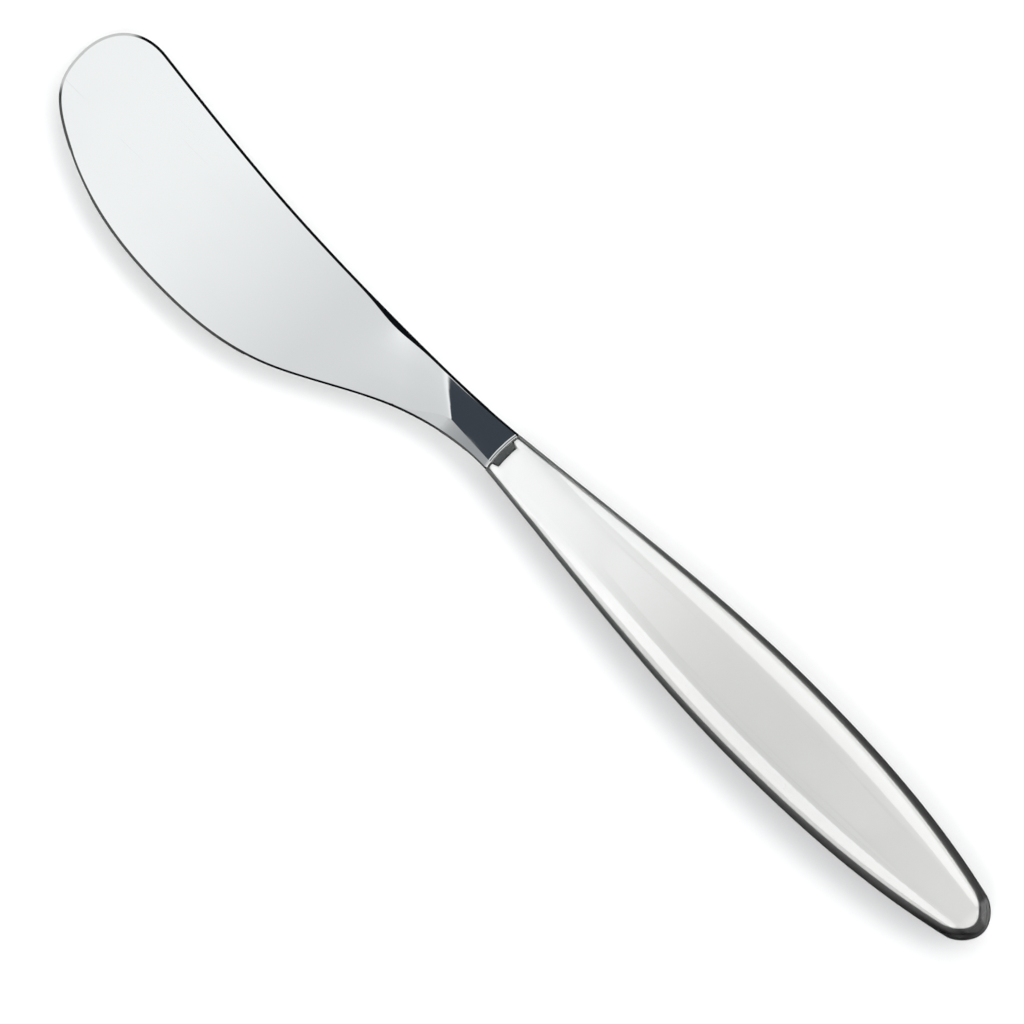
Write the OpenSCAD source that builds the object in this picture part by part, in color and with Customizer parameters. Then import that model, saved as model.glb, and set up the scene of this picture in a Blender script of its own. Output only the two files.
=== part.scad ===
// Butter knife: a one-piece steel blade, neck and tang, a white core moulded round the tang,
// and a clear shell moulded over the core. X runs along the handle, from the tip to the butt,
// Y to the spine, and Z up out of the flat of the blade.

/* [Blade] */
// Bare steel, from the tip to the front of the handle
blade_l = 80.7; // [70:0.1:100]
// Thickness of the flat of the blade
blade_t = 1.4; // [1.3:0.1:2]
// Width of the chamfer along the edge of the blade, seen from above
edge_w = 0.4; // [0.2:0.05:0.6]
// Height of that chamfer
edge_h = 0.32; // [0.2:0.02:0.32]
// Flat margin between the chamfer and the face
margin_w = 0.06; // [0.04:0.01:0.2]
// Extra width of the spine's chamfer where it swells in front of the neck
wedge_w = 0.45; // [0:0.05:0.5]
// Extra height of the spine's chamfer there
wedge_h = 0.32; // [0:0.02:0.32]
// Start of that swell, in front of the handle
wedge_start = 33; // [28:0.5:38]
// End of that swell, in front of the handle
wedge_end = 13; // [11:0.5:18]
// Length of the rounded tip
tip_l = 8.7; // [6:0.1:12]
// Foremost point of the tip, below the handle's axis
tip_drop = 2; // [0:0.1:4]
// Height of the spine above the handle's axis, where the rounded tip starts
spine_rise = 6; // [4:0.1:8]
// Lowest point of the belly, below the handle's axis
belly_drop = 17.6; // [14:0.1:22]

/* [Neck] */
// Width of the neck where it meets the handle
neck_w = 6.8; // [6.6:0.1:8]
// Thickness of the neck where it meets the handle
neck_t = 3.2; // [3:0.1:4]
// Length of the neck
neck_l = 26; // [20:1:34]
// Where the blade starts to thicken, in front of the handle
ramp_l = 30; // [26:1:36]
// Where the neck starts to swell, in front of the handle
swell_l = 10.2; // [9.6:0.1:12]
// Rise of each face above the flat of the blade there
swell_rise = 0.11; // [0.06:0.01:0.14]
// Where the neck's sloping facet starts, in front of the handle
facet_l = 8.8; // [8:0.1:9.4]
// Rise of each face above the flat of the blade there
facet_rise = 0.15; // [0.15:0.01:0.25]
// How far the facet reaches forward along the spine
spine_lean = 4.7; // [0:0.1:5]
// How far the facet stays back along the belly
belly_lean = 1.75; // [0:0.05:2.5]
// Width of the chamfer of the neck's spine at the handle
spine_edge_w = 0.35; // [0.2:0.05:0.5]
// Height of that chamfer
spine_edge_h = 0.3; // [0.2:0.02:0.42]
// Distance in front of the handle over which the blade's edges become the neck's
edge_l = 11; // [8:0.5:14]
// Width of the chamfer of the neck's belly at the handle
belly_edge_w = 0.3; // [0.2:0.05:0.4]
// Height of that chamfer
belly_edge_h = 0.26; // [0.2:0.02:0.36]
// Where the falling strip beside the facet starts, in front of the handle
strip_start = 15; // [13:0.5:18]
// Length over which the strip takes on its slope
strip_turn_l = 3; // [1:0.1:4]
// Where the strip is widest, in front of the handle
strip_at = 8.3; // [7:0.1:10]
// Greatest width of the strip
strip_w = 2.05; // [1.5:0.05:2.4]
// Width of the strip at the handle
strip_end_w = 0.95; // [0.6:0.05:1.2]
// Bow of the line where the steel meets the handle
mouth_bow = 0.35; // [0:0.05:0.5]
// Length over which the neck's own lines take on that bow
bow_l = 8; // [4:0.5:12]
// Length of the bevel at the neck's end
mouth_bevel = 0.22; // [0.1:0.02:0.4]
// Depth of that bevel
mouth_drop = 0.08; // [0.02:0.02:0.14]

/* [Tang] */
// Length of the tang inside the handle
tang_l = 40; // [25:1:60]
// Width of the tang
tang_w = 4.3; // [3.6:0.1:4.4]
// Thickness of the tang
tang_t = 1.2; // [1:0.1:1.4]
// Thickness of the tang's root
root_t = 1.6; // [1.4:0.1:1.8]
// Length over which the root thins to the tang
root_l = 3; // [2:0.5:6]
// Width of the tang's end
tang_end_w = 3; // [2.6:0.1:3.4]
// Rounding of the tang's long edges
tang_round = 0.3; // [0.1:0.05:0.4]
// Depth of each side notch that keys the tang into the core
notch_d = 0.8; // [0.3:0.1:1]
// Length of each side notch
notch_l = 6; // [4:0.5:7]
// Distance from the handle's front to the middle of the first pair of notches
notch_at = 14; // [12:0.5:17]
// Distance from the first pair of notches to the second
notch_step = 14; // [10:0.5:18]

/* [Handle] */
// Length of the handle
handle_l = 94.3; // [85:0.1:120]
// Greatest width of the handle
handle_w = 15.5; // [13:0.1:18]
// Greatest thickness of the handle
handle_t = 8.6; // [8:0.1:11]
// Thickness at the handle's long edges in the same section
shoulder_t = 6.4; // [5.8:0.1:7.6]
// Distance from the handle's front to its fullest section
swell_at = 53; // [45:0.5:60]
// Width to which the flanks run at the butt, before it is rounded
butt_w = 6.4; // [5.8:0.1:8]
// Thickness to which the middle runs at the butt, before it is rounded
butt_t = 6.6; // [6:0.1:7.6]
// Thickness to which the long edges run at the butt
butt_shoulder_t = 5.4; // [4.8:0.1:5.8]
// Length of the rounded butt
butt_round = 3.4; // [2.8:0.1:4.4]
// Rounding of the handle's long edges
handle_round = 0.42; // [0.3:0.02:0.6]
// Rounding of the shell's front edge
mouth_round = 0.06; // [0.06:0.02:0.2]

/* [Core] */
// Clear plastic in front of the core
nose_gap = 1.3; // [1.3:0.1:2]
// Length of the core's rounded nose
nose_round = 1.2; // [0.8:0.1:2]
// How far the core's front stands forward beside the tang
ear_l = 1; // [0.4:0.1:1]
// Width of the step to that front
ear_step = 0.3; // [0.2:0.05:0.5]
// Clear rim beside the core at the front
rim_front = 0.6; // [0.5:0.05:0.7]
// Clear rim beside the core at the butt
rim_butt = 1.35; // [1.1:0.05:1.6]
// Clear plastic over the core at the front
cover_front = 0.22; // [0.2:0.02:0.4]
// Clear plastic over the core's middle at the handle's swell
cover_swell = 0.4; // [0.3:0.02:0.8]
// Clear plastic over the core's middle at the butt
cover_butt = 0.32; // [0.3:0.02:0.8]
// Clear plastic over the core's long edges
cover_edge = 0.32; // [0.3:0.02:0.4]
// Rounding of the core's long edges
core_round = 0.2; // [0.1:0.05:0.4]
// Clear plastic behind the core
end_gap = 1.85; // [1.4:0.05:2.2]
// Hairline between moulded faces
mould_gap = 0.02; // [0.01:0.01:0.05]

/* [Hidden] */

// Spine from the rounded tip to the handle: share of the blade's length in front of the handle,
// share of the rise, and slope of one share against the other
spine_shares = [[0.62, 0.608, 1.14], [0.335, 0.443, 0.13]];
// Belly from the rounded tip to the handle: share of the length, share of the drop, and slope
belly_shares = [[0.607, 1, 0], [0.372, 0.787, 2.2], [0.173, 0.332, 1.65]];
// Slopes of the spine and the belly where the rounded tip starts
spine_tip_slope_share = 1.61;
belly_tip_slope_share = 2.3;
// Depth of the belly where the rounded tip starts, of the belly's drop
toe_share = 0.736;
// Pulls of the tip's two curves, of the rounded tip's length
tip_up_share = 0.55;
spine_pull_share = 0.63;
tip_down_share = 0.61;
belly_pull_share = 0.8;
// Slopes of the neck's two edges at the handle
spine_flare_share = 0.1;
belly_flare_share = 0.04;
// Slopes of the steel's face where the neck's swell and its facet start
swell_slope_share = 0.012;
facet_slope_share = 0.05;
// Slopes of the neck's top and of the handle's long edges, where the two meet
neck_slope_share = 0.11;
shoulder_slope_share = 0.08;
// Slope of the strip beside the facet
strip_slope_share = 0.135;
// Slopes of the handle's flank, of its middle and of its long edges at the butt
butt_taper_share = 0.27;
butt_fall_share = 0.07;
butt_edge_fall_share = 0.035;
// Pull of a rounded edge's curve, of its width and height
round_pull_share = 0.55;
// First ring of the tip, of its two curves
tip_start_share = 0.03;
// Thickness of that ring and of the tang's end at their edges, of that in their middle
tip_edge_share = 0.96;
tang_edge_share = 0.8;
// Width of the core's nose, of the core behind it
nose_share = 0.92;
// Hairline in front of the core, of the hairline round it
front_gap_share = 3;
// Flat middle of the handle's faces, of the way from their middle to their long edges
flat_share = 0.33;
// Last ring of a rounded end, of the full turn to its pole
pole_share = 0.94;
// Step to either side at which the direction of the plan is taken
way_step_share = 0.0001;

// Points along an edge, and from there to the flat of a section
edge_steps = 4;
crown_steps = 2;
// Rings along the tip, the blade, the neck, the tang, the handle's two halves, and its butt and nose
tip_rings = 9;
blade_rings = 14;
neck_rings = 30;
tang_rings = 24;
front_rings = 18;
rear_rings = 14;
butt_rings = 8;
nose_rings = 4;

// Corner of the rounded tip, from the handle's front
tip_x = tip_l - blade_l;
// Middle of the part's box, and its underside
middle_x = (handle_l - blade_l) / 2;
middle_y = (handle_w / 2 - belly_drop) / 2;
under_z = -handle_t / 2;
// Front and end of the core
core_front = nose_gap;
core_end = handle_l - end_gap;
// Where the handle's butt and the core's end start to round
round_x = handle_l - butt_round;
core_round_x = round_x - end_gap;

// Edges of the sections: chamfer's width and height, strip's width and slope, and share of rounding
blade_edge = [edge_w, edge_h, margin_w, 0, 0];
neck_spine_edge = [spine_edge_w, spine_edge_h, margin_w, 0, 0];
neck_belly_edge = [belly_edge_w, belly_edge_h, strip_end_w, strip_slope_share, 0];
handle_edge = rounded(handle_round);
tang_edge = rounded(tang_round);
core_edge = rounded(core_round);

function mix(a, b, t) = a + (b - a) * t;
function ease(t) = let (u = min(max(t, 0), 1)) u * u * (3 - 2 * u);
function flatten(lists) = [for (l = lists) each l];
function unit(v) = v / norm(v);
function reversed(l) = [for (i = [len(l) - 1:-1:0]) l[i]];
function rounded(r) = [r, r, 0, 0, 1];

// Cubic through two knots of place, value and slope
function span(x, a, b) =
    let (l = b[0] - a[0], t = (x - a[0]) / l)
    (1 + 2 * t) * pow(1 - t, 2) * a[1] + t * pow(1 - t, 2) * l * a[2]
    + t * t * (3 - 2 * t) * b[1] + t * t * (t - 1) * l * b[2];

// Smooth curve through a row of knots
function curve(x, knots, i = 0) =
    i == len(knots) - 2 || x <= knots[i + 1][0]
        ? span(x, knots[i], knots[i + 1])
        : curve(x, knots, i + 1);

// Point of a cubic with two pulled ends, and its direction there
function bend(p, t) =
    pow(1 - t, 3) * p[0] + 3 * t * pow(1 - t, 2) * p[1] + 3 * t * t * (1 - t) * p[2] + pow(t, 3) * p[3];
function bend_way(p, t) =
    unit(pow(1 - t, 2) * (p[1] - p[0]) + 2 * t * (1 - t) * (p[2] - p[1]) + t * t * (p[3] - p[2]));

// Knots given as shares of a length and a height, turned into sizes
function sized(shares, l, h) = [for (s = shares) [-s[0] * l, s[1] * h, s[2] * h / l]];

// Plan of the steel: the spine's and the belly's edge, behind the rounded tip
spine_tip_slope = -spine_tip_slope_share * spine_rise / blade_l;
belly_tip_slope = -belly_tip_slope_share * belly_drop / blade_l;
spine_knots = concat(
    [[tip_x, spine_rise, spine_tip_slope]],
    [for (k = sized(spine_shares, blade_l, spine_rise)) [k[0], k[1], -k[2]]],
    [[0, neck_w / 2, spine_flare_share]]);
belly_knots = concat(
    [[tip_x, -toe_share * belly_drop, belly_tip_slope]],
    [for (k = sized(belly_shares, blade_l, belly_drop)) [k[0], -k[1], k[2]]],
    [[0, -neck_w / 2, -belly_flare_share]]);

// Plan of the rounded tip: one curve up to the spine, one down to the belly
tip = [-blade_l, -tip_drop];
spine_corner = [tip_x, spine_rise];
belly_corner = [tip_x, -toe_share * belly_drop];
tip_to_spine = [
    tip,
    tip + [0, tip_up_share * tip_l],
    spine_corner - spine_pull_share * tip_l * [1, spine_tip_slope],
    spine_corner];
tip_to_belly = [
    tip,
    tip - [0, tip_down_share * tip_l],
    belly_corner - belly_pull_share * tip_l * [1, belly_tip_slope],
    belly_corner];

// Half thickness of the steel: flat blade, slow ramp, then the facet that runs up to the handle
function steel_half_t(x) = x <= -ramp_l ? blade_t / 2 : curve(x, [
    [-ramp_l, blade_t / 2, 0],
    [-swell_l, blade_t / 2 + swell_rise, swell_slope_share],
    [-facet_l, blade_t / 2 + facet_rise, facet_slope_share],
    [0, neck_t / 2, neck_slope_share]]);

// Half width of the handle, and half thickness of its middle and of its long edges
function flank(x) = curve(x, [
    [0, neck_w / 2, spine_flare_share],
    [swell_at, handle_w / 2, 0],
    [handle_l, butt_w / 2, -butt_taper_share]]);
function crown(x) = curve(x, [
    [0, neck_t / 2, neck_slope_share],
    [swell_at, handle_t / 2, 0],
    [handle_l, butt_t / 2, -butt_fall_share]]);
function shoulder(x) = curve(x, [
    [0, neck_t / 2, shoulder_slope_share],
    [swell_at, shoulder_t / 2, 0],
    [handle_l, butt_shoulder_t / 2, -butt_edge_fall_share]]);

// Clear plastic beside and over the core
function rim(x) = mix(rim_front, rim_butt, x / handle_l);
function cover(x) = curve(x, [[0, cover_front, 0], [swell_at, cover_swell, 0], [handle_l, cover_butt, 0]]);
function edge_cover(x) = mix(cover_front, cover_edge, ease(x / swell_at));

// Half of the plan of the handle, or of the core in it. Below 0, t is the distance in front of the
// rounded end, and from 0 to 1 it runs round that end to the pole
function half_w(x, core) = flank(x) - (core ? rim(x) : 0);
function plan_point(t, core) =
    let (
        start = core ? core_round_x : round_x,
        end = core ? core_end : handle_l,
        x = t <= 0 ? start + t : mix(start, end, sin(90 * t)))
    [x, half_w(x, core) * cos(90 * max(t, 0))];
function plan_in(t, core) =
    let (way = unit(plan_point(t + way_step_share, core) - plan_point(t - way_step_share, core)))
    [way[1], -way[0]];

// Half thickness of the handle in its middle, which comes down to the long edges round the butt, and
// at any place in its plan
function end_level(x) = 1 - pow(max(0, (x - round_x) / butt_round), 2);
function top(x) = mix(shoulder(x), crown(x), end_level(x));
function shell_edge(neck_edge, x) = mix(neck_edge, handle_edge, ease(x / swell_at));
function shell_half_t(p) =
    let (
        e = shell_edge(neck_belly_edge, p[0]),
        reach = flank(p[0]) * sqrt(end_level(p[0])) - e[0] - e[2])
    mix(top(p[0]), shoulder(p[0]), fall(abs(p[1]) / reach));

// The tang tapers to its end, with two pairs of round notches
function notch(x, at) = abs(x - at) >= notch_l / 2 ? 0 : notch_d / 2 * (1 + cos(360 * (x - at) / notch_l));
function tang_half_w(x) =
    mix(tang_w, tang_end_w, x / tang_l) / 2 - notch(x, notch_at) - notch(x, notch_at + notch_step);
function tang_half_t(x) = mix(root_t, tang_t, min(x / root_l, 1)) / 2;

// Inset from the wall and drop below the shoulder, along an edge whose crown starts with a slope
function edge_at(e, t, slope) =
    let (
        knee = [e[0], e[2] * (e[3] + slope)],
        wall = [0, knee[1] + e[1]],
        end = [e[0] + e[2], 0],
        flat = t < 0.5 ? mix(wall, knee, 2 * t) : mix(knee, end, 2 * t - 1),
        pulled = end + [-1, slope] * end[0] * round_pull_share)
    mix(flat, bend([wall, wall * (1 - round_pull_share), pulled, end], t), e[4]);

// How far a face has come down from its middle to its shoulder, past its flat
function fall(s) = pow(max(0, s - flat_share) / (1 - flat_share), 2);

// One side of a section, from the flat of its underside round its edge to the flat of its top
function inner(p, way, e) = p + way * (e[0] + e[2]);
function side(p, way, e, middle, high, low) =
    let (
        end = inner(p, way, e),
        slope = 2 * (high - low) / norm(end - middle) / (1 - flat_share),
        top = concat(
            [for (i = [0:edge_steps]) let (d = edge_at(e, i / edge_steps, slope))
                concat(p + way * d[0], low - d[1])],
            [for (i = [crown_steps - 1:-1:0]) let (s = mix(flat_share, 1, i / crown_steps))
                concat(mix(middle, end, s), mix(high, low, fall(s)))]))
    concat([for (q = reversed(top)) [q[0], q[1], -q[2]]], top);

// Closed ring between a spine and a belly edge point, with its half thickness in the middle and at
// the edges' shoulders
function ring(s, s_in, s_edge, b, b_in, b_edge, high, low) =
    let (middle = (inner(s, s_in, s_edge) + inner(b, b_in, b_edge)) / 2)
    concat(
        side(s, s_in, s_edge, middle, high, low),
        reversed(side(b, b_in, b_edge, middle, high, low)));
function even_ring(p, way, s_edge, b_edge, high, low) =
    ring(p, way, s_edge, [p[0], -p[1]], [way[0], -way[1]], b_edge, high, low);

// Bows a ring towards the tip, most in its middle and not at all at the neck's edges
function bowed(r, part = 1) =
    [for (p = r) p - [part * mouth_bow * max(0, 1 - pow(2 * p[1] / neck_w, 2)), 0, 0]];

// Places from a to b in n steps, a left out
function places(a, b, n) = [for (i = [1:n]) mix(a, b, i / n)];

// Closed skin over a row of rings, with a strip of faces across the first and the last.
// Rings that run towards the butt on the outside face out, and the others are flipped
module skin(rings, flip = false) {
    n = len(rings[0]);
    last = (len(rings) - 1) * n;
    function quad(a, b, c, d) = [[a, b, c], [a, c, d]];
    function cap(at) =
        flatten([for (j = [at:at + n / 2 - 2]) quad(j, j + 1, 2 * at + n - 2 - j, 2 * at + n - 1 - j)]);
    function turned(faces) = [for (f = faces) reversed(f)];
    sides = flatten([for (i = [0:len(rings) - 2]) each [for (j = [0:n - 1])
        let (a = i * n + j, b = i * n + (j + 1) % n)
        quad(a, b, b + n, a + n)]]);
    faces = concat(turned(cap(0)), sides, cap(last));
    polyhedron(flatten(rings), flip ? faces : turned(faces));
}

// Moves the part so that its box stands on its underside, centred on the origin
module placed() {
    translate([-middle_x, -middle_y, -under_z])
    children();
}

// Rings of the rounded tip, whose edge is worked square to the plan's own curve
function tip_ring(t) =
    let (
        s_way = bend_way(tip_to_spine, t),
        b_way = bend_way(tip_to_belly, t),
        edge_t = blade_t * (t > tip_start_share ? 1 : tip_edge_share))
    ring(bend(tip_to_spine, t), [s_way[1], -s_way[0]], blade_edge,
        bend(tip_to_belly, t), [-b_way[1], b_way[0]], blade_edge,
        blade_t / 2, edge_t / 2);

// Edge of the spine, whose chamfer swells in front of the neck
function spine_edge(x) =
    let (
        part = ease((x + wedge_start) / (wedge_start - wedge_end)),
        wedge = blade_edge + [wedge_w, wedge_h, 0, 0, 0] * pow(sin(180 * part), 2))
    mix(wedge, neck_spine_edge, ease(1 + x / edge_l));

// Edge of the belly, with a strip that falls off beside the facet
function belly_edge(x) =
    let (
        opening = mix(margin_w, strip_w, ease((x + strip_start) / (strip_start - strip_at))),
        width = x < -strip_at ? opening : mix(strip_end_w, strip_w, pow(x / strip_at, 2)),
        turn = ease((x + strip_start + strip_turn_l) / strip_turn_l),
        part = ease(1 + x / strip_start))
    [mix(edge_w, belly_edge_w, part), mix(edge_h, belly_edge_h, part), width, strip_slope_share * turn, 0];

// Rings of the blade and the neck. In the neck they lean, so that the facet starts across the blade
function blade_ring(x) =
    let (
        lean = pow(sin(180 * min(max(1 + x / neck_l, 0), 1)), 2),
        s = x - spine_lean * lean,
        b = x + belly_lean * lean)
    bowed(ring([s, curve(s, spine_knots)], [0, -1], spine_edge(s),
        [b, curve(b, belly_knots)], [0, 1], belly_edge(b),
        steel_half_t(x), steel_half_t(x)), ease(1 + x / bow_l));

// Rings of the neck's end and of the handle's front, smaller all round by an inset
function mouth_ring(x, inset) =
    let (half_t = crown(x) - inset)
    bowed(even_ring([x, flank(x) - inset], [0, -1], neck_spine_edge, neck_belly_edge, half_t, half_t));

// Rings of the tang, and of the slot round it a gap wider, from the core's front to the rounded end
tang_places = concat([core_front], places(core_front, tang_l - tang_round, tang_rings));
function tang_ring(x, gap) =
    let (half_t = tang_half_t(x) + gap)
    even_ring([x, tang_half_w(x) + gap], [0, -1], tang_edge, tang_edge, half_t, half_t);
function tang_end(gap) =
    let (
        half_t = tang_t / 2 - tang_round + gap,
        edge = [tang_round, half_t / 2, 0, 0, 1])
    even_ring([tang_l + gap, tang_end_w / 2 - tang_round + gap], [0, -1], edge, edge,
        half_t, half_t * tang_edge_share);

// Rings of the core, and of the hollow round it a gap wider, from its nose to its end
core_turns = concat(
    [core_front - core_round_x],
    places(core_front - core_round_x, core_front + nose_round - core_round_x, nose_rings),
    places(core_front + nose_round - core_round_x, swell_at - core_round_x, front_rings),
    places(swell_at - core_round_x, 0, rear_rings),
    places(0, pole_share, butt_rings));
function ear(y) = ear_l * ease((abs(y) - tang_w / 2 + ear_step) / ear_step);
function core_ring(t, gap) =
    let (
        p = plan_point(t, true),
        way = plan_in(t, true),
        q = inner(p, way, core_edge),
        past = (p[0] - core_front) / nose_round,
        kept = past >= 1 ? 1 : mix(nose_share, 1, sqrt(max(0, 1 - pow(1 - past, 2)))),
        low = (shell_half_t(q) - edge_cover(q[0])) * kept + gap,
        high = max(low + mould_gap, (top(q[0]) - cover(q[0])) * kept + gap),
        bow = 1 - ease(past),
        r = even_ring([p[0], p[1] * kept] - way * gap, way, core_edge, core_edge, high, low))
    [for (v = bowed(r, bow)) v - [(ear(v[1]) + gap * front_gap_share) * bow, 0, 0]];

// Rings of the handle's outside, from its front edge to the butt
shell_turns = concat(
    [mouth_round - round_x],
    places(mouth_round - round_x, swell_at - round_x, front_rings),
    places(swell_at - round_x, 0, rear_rings),
    places(0, pole_share, butt_rings));
function shell_ring(t) =
    let (p = plan_point(t, false))
    even_ring(p, plan_in(t, false),
        shell_edge(neck_spine_edge, p[0]), shell_edge(neck_belly_edge, p[0]),
        top(p[0]), shoulder(p[0]));

// Steel in one piece: rounded tip, flat blade, neck, bevelled shoulder and notched tang
module blade() {
    color("gainsboro")
    skin(concat(
        [for (i = [0:tip_rings]) tip_ring(mix(tip_start_share, 1, i / tip_rings))],
        [for (x = places(tip_x, -neck_l, blade_rings)) blade_ring(x)],
        [for (x = places(-neck_l, -mouth_bevel, neck_rings)) blade_ring(x)],
        [mouth_ring(0, mouth_drop), bowed(tang_ring(0, 0))],
        [for (x = tang_places) tang_ring(x, 0)],
        [tang_end(0)]));
}

// White core, open at its nose for the tang
module handle_core() {
    color("white")
    skin(concat(
        [tang_end(mould_gap)],
        [for (x = reversed(tang_places)) tang_ring(x, mould_gap)],
        [for (t = core_turns) core_ring(t, 0)]));
}

// Clear shell round the core, open at its front for the tang
module handle_shell() {
    color("aliceblue", 0.5)
    skin(concat(
        [for (t = reversed(shell_turns)) shell_ring(t)],
        [mouth_ring(mould_gap, mouth_round), bowed(tang_ring(mould_gap, mould_gap))],
        [tang_ring(core_front - mould_gap * front_gap_share, mould_gap)],
        [for (t = core_turns) core_ring(t, mould_gap)]), true);
}

placed() blade();
placed() handle_core();
placed() handle_shell();
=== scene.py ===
"""Dresses the butter knife: a polished steel blade, a white core and a clear shell, on a white table.

Sizes are in millimetres, as on the part's own drawing, and meshes are written in metres. Along the knife
X runs from the tip to the butt, from the front of the handle; Y runs to the spine and Z up.
"""
import logging
import math
from dataclasses import astuple, dataclass, field
from enum import Enum
from typing import Callable, Sequence, Union

import bmesh
import bpy
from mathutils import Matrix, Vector


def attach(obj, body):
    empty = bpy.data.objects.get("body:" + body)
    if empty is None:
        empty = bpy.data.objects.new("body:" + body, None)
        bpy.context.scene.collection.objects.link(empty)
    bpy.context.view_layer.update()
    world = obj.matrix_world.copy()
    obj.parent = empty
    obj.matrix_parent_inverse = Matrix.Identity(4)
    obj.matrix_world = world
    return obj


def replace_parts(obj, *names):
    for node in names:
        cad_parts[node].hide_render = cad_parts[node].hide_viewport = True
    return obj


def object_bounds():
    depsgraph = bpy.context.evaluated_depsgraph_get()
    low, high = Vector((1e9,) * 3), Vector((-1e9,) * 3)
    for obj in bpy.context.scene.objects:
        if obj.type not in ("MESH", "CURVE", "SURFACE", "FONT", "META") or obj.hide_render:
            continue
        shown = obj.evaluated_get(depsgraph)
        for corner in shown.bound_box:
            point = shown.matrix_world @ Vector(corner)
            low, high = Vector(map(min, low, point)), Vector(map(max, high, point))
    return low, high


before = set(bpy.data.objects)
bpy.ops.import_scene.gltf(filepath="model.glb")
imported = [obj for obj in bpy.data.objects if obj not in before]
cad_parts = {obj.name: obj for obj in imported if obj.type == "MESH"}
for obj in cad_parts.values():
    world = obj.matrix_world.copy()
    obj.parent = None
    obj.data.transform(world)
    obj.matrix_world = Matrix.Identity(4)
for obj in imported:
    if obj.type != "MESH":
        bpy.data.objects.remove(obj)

CAD_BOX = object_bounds()
MM = 0.001
BODY = "root"
ROUND_PULL = 0.55
FLAT_SHARE = 0.33
LAST_TURN = 0.99
TURN_STEP = 1e-4
CREASE = math.radians(50)
DIAGONAL = math.sqrt(0.5)
MIRROR = Vector((1, -1))
LOG = logging.getLogger("butter_knife")

Point = tuple[float, float, float]
Ring = list[Point]
Colour = tuple[float, float, float]
Span = tuple[float, float]
Value = Union["Wire", float, int, Sequence[float]]


class Slot(Enum):
    """Names of the knife's materials."""

    STEEL = "polished_steel"
    WHITE = "white_plastic"
    CLEAR = "clear_plastic"


def mix(a: float, b: float, share: float) -> float:
    """Value that lies a share of the way from a to b."""
    return a + (b - a) * share


def ease(share: float) -> float:
    """Share from 0 to 1 with a soft start and a soft end."""
    t = min(max(share, 0.0), 1.0)
    return t * t * (3 - 2 * t)


def fall(share: float) -> float:
    """How far a face has come down at a share of the way from its middle to its shoulder, past its flat."""
    return (max(0.0, share - FLAT_SHARE) / (1 - FLAT_SHARE)) ** 2


@dataclass(frozen=True)
class Knot:
    """Place, value and slope of one knot of a smooth curve."""

    x: float
    y: float
    slope: float = 0.0


@dataclass(frozen=True)
class Curve:
    """Smooth curve of cubic spans through a row of knots."""

    knots: tuple[Knot, ...]

    def __call__(self, x: float) -> float:
        """Works the curve out.

        Args:
            x: Place along it.

        Returns:
            Its value there.
        """
        pairs = list(zip(self.knots, self.knots[1:]))
        a, b = next((pair for pair in pairs if x <= pair[1].x), pairs[-1])
        length = b.x - a.x
        t = (x - a.x) / length
        start = (1 + 2 * t) * (1 - t) ** 2 * a.y + t * (1 - t) ** 2 * length * a.slope
        end = t * t * (3 - 2 * t) * b.y + t * t * (t - 1) * length * b.slope
        return start + end


@dataclass(frozen=True)
class Bend:
    """Cubic in the plan with two pulled ends, for the rounded tip."""

    start: Vector
    pull_start: Vector
    pull_end: Vector
    end: Vector

    def at(self, t: float) -> Vector:
        """Point of the curve at t, from 0 to 1."""
        u = 1 - t
        return (u**3 * self.start + 3 * t * u * u * self.pull_start
                + 3 * t * t * u * self.pull_end + t**3 * self.end)

    def inward(self, t: float, side: int) -> Vector:
        """Unit vector square to the curve at t, to the right of its way for side 1 and left for -1."""
        way = ((1 - t) ** 2 * (self.pull_start - self.start)
               + 2 * t * (1 - t) * (self.pull_end - self.pull_start)
               + t * t * (self.end - self.pull_end)).normalized()
        return Vector((way.y * side, -way.x * side))


@dataclass(frozen=True)
class Edge:
    """Edge of a section, from its wall over a chamfer and a strip to its shoulder.

    A round share of 0 keeps the chamfer and the strip flat, and 1 makes one round of the two.
    """

    chamfer_w: float
    chamfer_h: float
    strip_w: float = 0.0
    strip_slope: float = 0.0
    round_share: float = 0.0

    @classmethod
    def rounded(cls, radius: float) -> "Edge":
        """Edge with a plain round."""
        return cls(radius, radius, round_share=1.0)

    @property
    def width(self) -> float:
        """Width from the wall to the shoulder."""
        return self.chamfer_w + self.strip_w

    def toward(self, other: "Edge", share: float) -> "Edge":
        """Edge that lies a share of the way to another."""
        return Edge(*(mix(a, b, share) for a, b in zip(astuple(self), astuple(other))))

    def at(self, t: float, slope: float) -> Vector:
        """Inset from the wall and drop below the shoulder, along the edge.

        Args:
            t: Place along the edge, 0 at the wall and 1 at the shoulder.
            slope: Slope of the crown where it meets the shoulder.

        Returns:
            The inset and the drop.
        """
        knee = Vector((self.chamfer_w, self.strip_w * (self.strip_slope + slope)))
        wall = Vector((0, knee.y + self.chamfer_h))
        shoulder = Vector((self.width, 0))
        flat = wall.lerp(knee, 2 * t) if t < 0.5 else knee.lerp(shoulder, 2 * t - 1)
        pulled = shoulder + Vector((-1, slope)) * self.width * ROUND_PULL
        return flat.lerp(Bend(wall, wall * (1 - ROUND_PULL), pulled, shoulder).at(t), self.round_share)


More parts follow.
